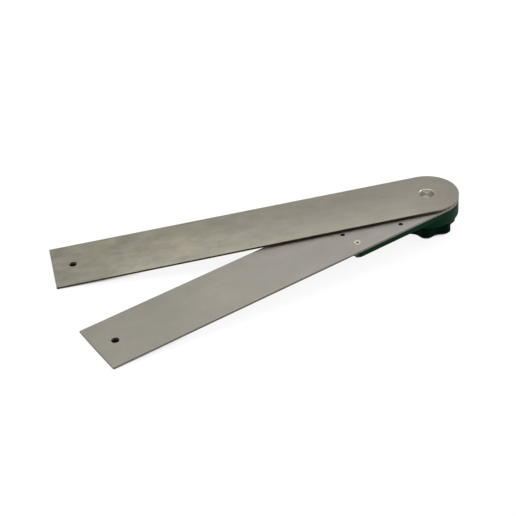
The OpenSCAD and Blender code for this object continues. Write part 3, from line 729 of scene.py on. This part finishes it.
def clear_lens(name):
    """Clear plastic with faint smears."""
    look = material_look(name)
    shader = look.shader(Base_Color=LENS_TINT, Transmission_Weight=1.0, IOR=LENS_IOR)
    smear = look.noise(look.place(LENS_NOISE), detail=3.0)
    look.join(look.band(smear, *LENS_BAND, *LENS_ROUGHS), shader.inputs["Roughness"])
    look.bump(shader, smear, *LENS_BUMP)
    return look.owner


def display_glass(name):
    """Grey-green display glass with a faint cell pattern."""
    look = material_look(name)
    shader = look.shader(Specular_IOR_Level=0.6, Coat_Weight=0.6, Coat_Roughness=0.05)
    cells = look.noise(look.place(), scale=CELL_NOISE, detail=1.0)
    broad = look.noise(look.place(), scale=GLASS_NOISE)
    colour = look.mix(look.band(broad, *ROUGH_BAND), *GLASS_TONES)
    look.join(look.shade(colour, cells, CELL_SHADE), shader.inputs["Base Color"])
    look.rough(shader, cells, GLASS_ROUGHS)
    return look.owner


def board_laminate(name):
    """Solder mask over copper tracks, with bare pads."""
    look = material_look(name)
    shader = look.shader(Specular_IOR_Level=0.5)
    tracks = look.add("ShaderNodeTexBrick", **TRACKS)
    look.join(look.place(), tracks.inputs["Vector"])
    pads = look.add("ShaderNodeTexVoronoi", Scale=PAD_NOISE)
    look.join(look.place(), pads.inputs["Vector"])
    pad = look.band(pads.outputs["Distance"], *PAD_BAND, 1.0, 0.0)
    mask = look.mix(tracks.outputs["Fac"], *MASK_GREENS)
    look.join(look.mix(pad, mask, PAD_TIN), shader.inputs["Base Color"])
    look.join(look.band(pad, 0.0, 1.0, MASK_ROUGH, PAD_ROUGH), shader.inputs["Roughness"])
    look.bump(shader, tracks.outputs["Fac"], *TRACK_BUMP)
    return look.owner


def ink(name, colour):
    """Printed ink, worn a little unevenly."""
    look = material_look(name)
    shader = look.shader()
    worn = look.noise(look.place(), scale=INK_NOISE, detail=3.0)
    look.join(look.shade(colour, worn, INK_SHADE), shader.inputs["Base Color"])
    look.rough(shader, worn, INK_ROUGHS)
    return look.owner


def slot_materials():
    """The material of each slot of the record."""
    made = {name: moulded_plastic(name, **values) for name, values in PLASTICS.items()}
    made.update({name: plated_metal(name, **values) for name, values in METALS.items()})
    made["blade_steel"] = blade_steel("blade_steel", BACK_BLADE)
    made["shaft_steel"] = turned_steel("shaft_steel")
    made["window_lens"] = clear_lens("window_lens")
    made["lcd_glass"] = display_glass("lcd_glass")
    made["board_laminate"] = board_laminate("board_laminate")
    return made


def own_materials():
    """The materials of two nodes that don't look like the rest of their slot."""
    recess = (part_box("blade_screws")[1].z, SCREW_BROWN_DEPTH, SCREW_BROWN)
    return {
        "front_blade": blade_steel("front_blade_steel", FRONT_BLADE),
        "blade_screws": plated_metal("screw_steel", SCREW_STEEL, SCREW_ROUGHS, recess),
    }


# Pieces

def merged(mesh, distance):
    """A mesh for editing, with the corners joined that lie closer than a distance."""
    joined = bmesh.new()
    joined.from_mesh(mesh)
    bmesh.ops.remove_doubles(joined, verts=joined.verts, dist=distance)
    return joined


def finish_mesh(piece):
    """Applies the modifiers of a piece and shades it smooth between its sharp edges."""
    graph = bpy.context.evaluated_depsgraph_get()
    mesh = bpy.data.meshes.new_from_object(piece.evaluated_get(graph))
    piece.modifiers.clear()
    piece.data = mesh
    joined = merged(mesh, BEVEL_MERGE)
    joined.to_mesh(mesh)
    joined.free()
    mesh.shade_smooth()
    mesh.set_sharp_from_angle(angle=SMOOTH_ANGLE)
    weighted = piece.modifiers.new("weighted", "WEIGHTED_NORMAL")
    weighted.keep_sharp = True


def round_rim(mesh, radius, width):
    """Rounds the upper edge of a hole about the pivot axis."""
    top = max(corner.co.z for corner in mesh.verts)
    on_rim = {
        corner for corner in mesh.verts
        if top - corner.co.z < RIM_TOLERANCE and abs(corner.co.xy.length - radius) < RIM_TOLERANCE
    }
    rim = [edge for edge in mesh.edges if on_rim.issuperset(edge.verts)]
    bmesh.ops.bevel(
        mesh, geom=rim, offset=width, segments=RIM_SEGMENTS, profile=0.5, affect="EDGES", clamp_overlap=False
    )


def rounded(node, width, material, segments, rim):
    """A copy of a CAD solid with its sharp edges rounded. It stands for the solid."""
    mesh = frame["nodes"][node].data.copy()
    piece = link(node + "_finished", mesh)
    cleaned = merged(mesh, CAD_MERGE)
    bmesh.ops.dissolve_limit(cleaned, angle_limit=FLAT_ANGLE, verts=cleaned.verts, edges=cleaned.edges)
    if rim:
        round_rim(cleaned, *rim)
    cleaned.to_mesh(mesh)
    cleaned.free()
    bevel = piece.modifiers.new("edges", "BEVEL")
    bevel.width = width
    bevel.segments = segments
    bevel.limit_method = "ANGLE"
    bevel.angle_limit = EDGE_ANGLE
    bevel.use_clamp_overlap = False
    finish_mesh(piece)
    piece.data.materials.clear()
    piece.data.materials.append(material)
    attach(piece, BODY_OF_NODE[node])
    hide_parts(node)


def dress_nodes():
    """Gives every CAD node its material and rounds the edges of those that show them."""
    materials = slot_materials()
    for node, piece in frame["nodes"].items():
        for slot in piece.material_slots:
            slot.material = materials[SLOT_OF_NODE[node]]
    own = own_materials()
    for node, width in EDGE_WIDTHS.items():
        material = own.get(node, materials[SLOT_OF_NODE[node]])
        segments = BUTTON_SEGMENTS if node.endswith("_button") else EDGE_SEGMENTS
        rim = (PIVOT_HEAD_RADIUS, RIM_WIDTH) if node == "back_blade" else None
        rounded(node, width, material, segments, rim)


# Marks

class Print:
    """Thin closed marks, gathered in one mesh at one height."""

    def __init__(self, name, level):
        self.name = name
        self.level = level
        self.mesh = bmesh.new()

    def corners(self, points):
        """The corners of an outline on the lower and on the upper side of the ink."""
        heights = (self.level - INK_DEPTH / 2, self.level + INK_DEPTH / 2)
        return [[self.mesh.verts.new((x, y, z)) for x, y in points] for z in heights]

    def strip(self, first, second):
        """Faces between two closed rows of corners."""
        for i in range(len(first)):
            self.mesh.faces.new((first[i - 1], first[i], second[i], second[i - 1]))

    def filled(self, points):
        """A mark inside an outline."""
        low, high = self.corners(points)
        self.mesh.faces.new(low)
        self.mesh.faces.new(high)
        self.strip(low, high)

    def rim(self, outer, inner):
        """A mark between two outlines with as many corners."""
        outer_low, outer_high = self.corners(outer)
        inner_low, inner_high = self.corners(inner)
        self.strip(outer_low, inner_low)
        self.strip(outer_high, inner_high)
        self.strip(outer_low, outer_high)
        self.strip(inner_low, inner_high)

    def bar(self, x, y, width, height):
        """An upright bar about x that starts at y."""
        left, right = x - width / 2, x + width / 2
        self.filled([(left, y), (right, y), (right, y + height), (left, y + height)])

    def words(self, text, x, y, size):
        """Plain letters or figures about x, y."""
        curve = bpy.data.curves.new(self.name, "FONT")
        curve.body = text
        curve.size = size
        curve.align_x = "CENTER"
        curve.align_y = "CENTER"
        curve.extrude = INK_DEPTH / 2
        curve.resolution_u = FONT_STEPS
        writing = link(self.name, curve)
        graph = bpy.context.evaluated_depsgraph_get()
        mesh = bpy.data.meshes.new_from_object(writing.evaluated_get(graph))
        mesh.transform(Matrix.Translation((x, y, self.level)) @ Matrix.Rotation(math.pi, 4, "Y"))
        self.mesh.from_mesh(mesh)
        bpy.data.objects.remove(writing)
        bpy.data.curves.remove(curve)
        bpy.data.meshes.remove(mesh)

    def finish(self, node, material, turn=0.0):
        """Puts the marks on a CAD node, turned about the pivot axis."""
        bmesh.ops.remove_doubles(self.mesh, verts=self.mesh.verts, dist=INK_MERGE)
        bmesh.ops.recalc_face_normals(self.mesh, faces=self.mesh.faces)
        mesh = bpy.data.meshes.new(self.name)
        self.mesh.to_mesh(mesh)
        self.mesh.free()
        mesh.transform(Matrix.Rotation(turn, 4, "Z"))
        mesh.materials.append(material)
        piece = link(self.name, mesh)
        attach(piece, BODY_OF_NODE[node])


def ring_points(x, y, radius):
    """The corners of a round outline."""
    turns = [i * math.tau / RING_CORNERS for i in range(RING_CORNERS)]
    return [(x + radius * math.cos(turn), y + radius * math.sin(turn)) for turn in turns]


def box_points(low, high, inset):
    """The corners of a rectangle that lies inside a box."""
    left, right = low.x + inset, high.x - inset
    near, far = low.y + inset, high.y - inset
    return [(left, near), (right, near), (right, far), (left, far)]


def add_digit(marks, digit, right, base):
    """One figure of the display. It reads from below, so its next side lies towards -X."""
    for name in SEGMENTS_OF_DIGIT[digit]:
        ends = [
            Vector((right - across * DIGIT_WIDTH, base + up * DIGIT_HALF_HEIGHT))
            for across, up in SEGMENT_ENDS[name]
        ]
        along = (ends[1] - ends[0]).normalized()
        side = Vector((-along.y, along.x)) * SEGMENT_WIDTH / 2
        step = along * SEGMENT_WIDTH / 2
        near = ends[0] + along * SEGMENT_GAP
        far = ends[1] - along * SEGMENT_GAP
        one_side = [near, near + step + side, far - step + side]
        other_side = [far, far - step - side, near + step - side]
        marks.filled(one_side + other_side)


def add_display_marks(dark_ink):
    """The angle on the display and the dark border of its window."""
    window_low, window_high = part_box("display_window")
    middle = (window_low + window_high) / 2
    start = middle.x + DISPLAY_START
    base = middle.y - DIGIT_HALF_HEIGHT
    figures = Print("display_figures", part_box("lcd_panel")[0].z - FIGURES_BELOW_PANEL)
    for digit, offset in DISPLAY_DIGITS:
        add_digit(figures, digit, start - offset, base)
    figures.bar(start - POINT_PLACE, base - SEGMENT_WIDTH / 2, SEGMENT_WIDTH, SEGMENT_WIDTH)
    degree = (start - DEGREE_PLACE, base + 2 * DIGIT_HALF_HEIGHT - DEGREE_DROP)
    figures.rim(*(ring_points(*degree, radius) for radius in DEGREE_RADII))
    figures.finish("lcd_panel", dark_ink)
    border = Print("window_border", window_high.z + BORDER_ABOVE_WINDOW)
    border.rim(*(box_points(window_low, window_high, inset) for inset in BORDER_INSETS))
    border.finish("display_window", dark_ink)


def tick_length(count):
    """The length of a scale's mark. Every tenth one is the longest, and every fifth one comes next."""
    if count % 10 == 0:
        return TENTH_TICK
    if count % 5 == 0:
        return FIFTH_TICK
    return OTHER_TICK


def add_scale(name, node, side, last, dark_ink, turn):
    """A millimetre scale on a blade's inner face, along one side, counted from the square end."""
    marks = Print(name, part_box(node)[0].z - INK_SINK)
    edge = side * (BLADE_HALF - TICK_INSET)
    for count in range(1, last + 1):
        x = count * SCALE_STEP - BLADE_LENGTH
        length = tick_length(count)
        marks.bar(x, min(edge, edge - side * length), TICK_WIDTH, length)
        if count % 10 == 0:
            marks.words(str(count), x, side * (BLADE_HALF - NUMBER_INSET), NUMBER_SIZE)
    marks.finish(node, dark_ink, turn)


def add_switch_words(pale_ink):
    """The words beside the first button."""
    button_low, button_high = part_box("power_button")
    marks = Print("switch_words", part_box("battery_door")[0].z - INK_SINK)
    x = (button_low.x + button_high.x) / 2 + SWITCH_WORDS_OFFSET[0]
    y = button_high.y + SWITCH_WORDS_OFFSET[1]
    marks.words("ON/OFF", x, y, SWITCH_WORDS_SIZE)
    marks.finish("housing_cover", pale_ink)


add_camera()
add_world()
add_lamps()
dress_nodes()
black_ink = ink("black_ink", BLACK_INK)
add_display_marks(black_ink)
add_scale("front_scale", "front_blade", -1, FRONT_SCALE_LAST, black_ink, 0.0)
add_scale("back_scale", "back_blade", 1, BACK_SCALE_LAST, black_ink, -REST_ANGLE)
add_switch_words(ink("pale_ink", PALE_INK))
add_floor()
